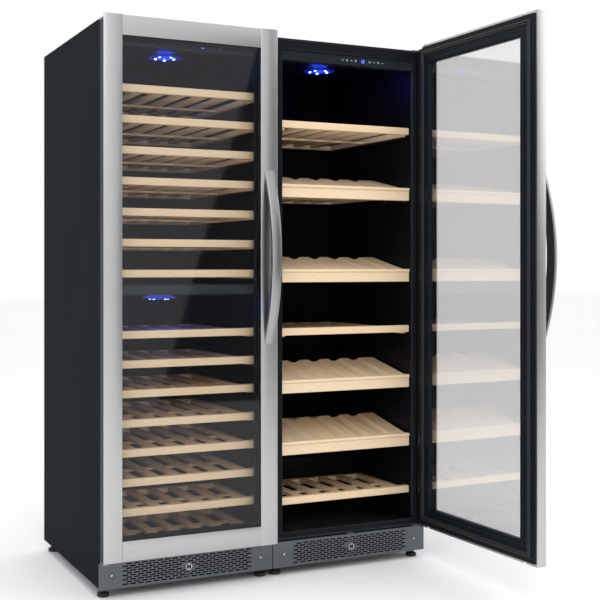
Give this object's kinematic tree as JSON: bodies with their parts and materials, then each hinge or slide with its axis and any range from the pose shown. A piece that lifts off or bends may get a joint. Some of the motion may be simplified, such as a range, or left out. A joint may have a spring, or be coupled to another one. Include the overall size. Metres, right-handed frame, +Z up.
{
  "type": "wine cooler",
  "caption": "Pair of tall glass-door wine coolers side by side, one shut with two zones, one open with display racks.",
  "frame": {"origin": "centre of the floor area covered by the object as stored, with the right door open, at floor level", "axes": "+X to the right seen from the front, +Y to the rear, +Z up; the doors face -Y"},
  "size_m": [1.2628, 1.2468, 1.786],
  "materials": {
    "case_paint": "satin powder coat, almost black grey",
    "liner_plastic": "fine satin moulded",
    "frame_plastic": "satin extruded",
    "stainless": "brushed along each member",
    "handle_steel": "brushed along the bar",
    "kick_steel": "satin grey, perforated",
    "lock_chrome": "bright plated",
    "hinge_zinc": "zinc plated steel",
    "door_glass": "tinted double glazing",
    "panel_gloss": "gloss black touch panel",
    "compressor_paint": "black enamel",
    "shelf_beech": "clear satin lacquer",
    "cradle_beech": "clear satin lacquer",
    "foot_plastic": "moulded black"
  },
  "bodies": {
    "cabinets": {"left_case": "case_paint", "left_liner": "liner_plastic", "left_kick_plate": "kick_steel", "left_control_panel": "panel_gloss", "left_hinge_top": "hinge_zinc", "left_hinge_bottom": "hinge_zinc", "left_compressor": "compressor_paint", "right_case": "case_paint", "right_liner": "liner_plastic", "right_kick_plate": "kick_steel", "right_control_panel": "panel_gloss", "right_hinge_top": "hinge_zinc", "right_hinge_bottom": "hinge_zinc", "right_compressor": "compressor_paint", "left_foot_front_left": "foot_plastic", "left_foot_front_right": "foot_plastic", "left_foot_rear_left": "foot_plastic", "left_foot_rear_right": "foot_plastic", "right_foot_front_left": "foot_plastic", "right_foot_front_right": "foot_plastic", "right_foot_rear_left": "foot_plastic", "right_foot_rear_right": "foot_plastic", "left_zone_divider": "liner_plastic", "left_shelf_01": "shelf_beech", "left_shelf_02": "shelf_beech", "left_shelf_03": "shelf_beech", "left_shelf_04": "shelf_beech", "left_shelf_05": "shelf_beech", "left_shelf_06": "shelf_beech", "left_shelf_07": "shelf_beech", "left_shelf_08": "shelf_beech", "left_shelf_09": "shelf_beech", "left_shelf_10": "shelf_beech", "left_shelf_11": "shelf_beech", "left_shelf_12": "shelf_beech", "left_shelf_13": "shelf_beech", "left_shelf_14": "shelf_beech", "left_shelf_15": "shelf_beech"},
    "left_door": {"left_door_frame": "stainless", "left_door_inner_frame": "frame_plastic", "left_door_glass": "door_glass", "left_door_handle": "handle_steel"},
    "left_lock": {"left_lock": "lock_chrome"},
    "right_door": {"right_door_frame": "stainless", "right_door_inner_frame": "frame_plastic", "right_door_glass": "door_glass", "right_door_handle": "handle_steel"},
    "right_lock": {"right_lock": "lock_chrome"},
    "right_shelf_bottom": {"right_shelf_bottom": "shelf_beech"},
    "display_rack_4": {"display_rack_4": "shelf_beech", "display_cradle_4": "cradle_beech"},
    "display_rack_3": {"display_rack_3": "shelf_beech", "display_cradle_3": "cradle_beech"},
    "right_shelf_middle": {"right_shelf_middle": "shelf_beech"},
    "display_rack_2": {"display_rack_2": "shelf_beech", "display_cradle_2": "cradle_beech"},
    "display_rack_1": {"display_rack_1": "shelf_beech", "display_cradle_1": "cradle_beech"},
    "right_shelf_top": {"right_shelf_top": "shelf_beech"}
  },
  "joints": [
    {"name": "left_door_hinge", "type": "hinge", "parent": "cabinets", "child": "left_door", "pos_m": [-0.61736, -0.04462, 0.95], "axis": [0, 0, -1], "range_deg": [0, 106]},
    {"name": "right_door_hinge", "type": "hinge", "parent": "cabinets", "child": "right_door", "pos_m": [0.54524, -0.04462, 0.95], "axis": [0, 0, 1], "range_deg": [-91.3, 14.7]},
    {"name": "left_lock_turn", "type": "hinge", "parent": "cabinets", "child": "left_lock", "pos_m": [-0.33386, -0.01662, 0.07025], "axis": [0, 1, 0], "range_deg": [0, 90]},
    {"name": "right_lock_turn", "type": "hinge", "parent": "cabinets", "child": "right_lock", "pos_m": [0.26174, -0.01662, 0.07025], "axis": [0, 1, 0], "range_deg": [0, 90]},
    {"name": "right_shelf_bottom_slide", "type": "slide", "parent": "cabinets", "child": "right_shelf_bottom", "axis": [0, -1, 0], "range_m": [0, 0.2]},
    {"name": "display_rack_4_slide", "type": "slide", "parent": "cabinets", "child": "display_rack_4", "axis": [0, -1, 0], "range_m": [0, 0.285]},
    {"name": "display_rack_3_slide", "type": "slide", "parent": "cabinets", "child": "display_rack_3", "axis": [0, -1, 0], "range_m": [0, 0.285]},
    {"name": "right_shelf_middle_slide", "type": "slide", "parent": "cabinets", "child": "right_shelf_middle", "axis": [0, -1, 0], "range_m": [0, 0.285]},
    {"name": "display_rack_2_slide", "type": "slide", "parent": "cabinets", "child": "display_rack_2", "axis": [0, -1, 0], "range_m": [0, 0.285]},
    {"name": "display_rack_1_slide", "type": "slide", "parent": "cabinets", "child": "display_rack_1", "axis": [0, -1, 0], "range_m": [0, 0.285]},
    {"name": "right_shelf_top_slide", "type": "slide", "parent": "cabinets", "child": "right_shelf_top", "axis": [0, -1, 0], "range_m": [0, 0.285]}
  ]
}
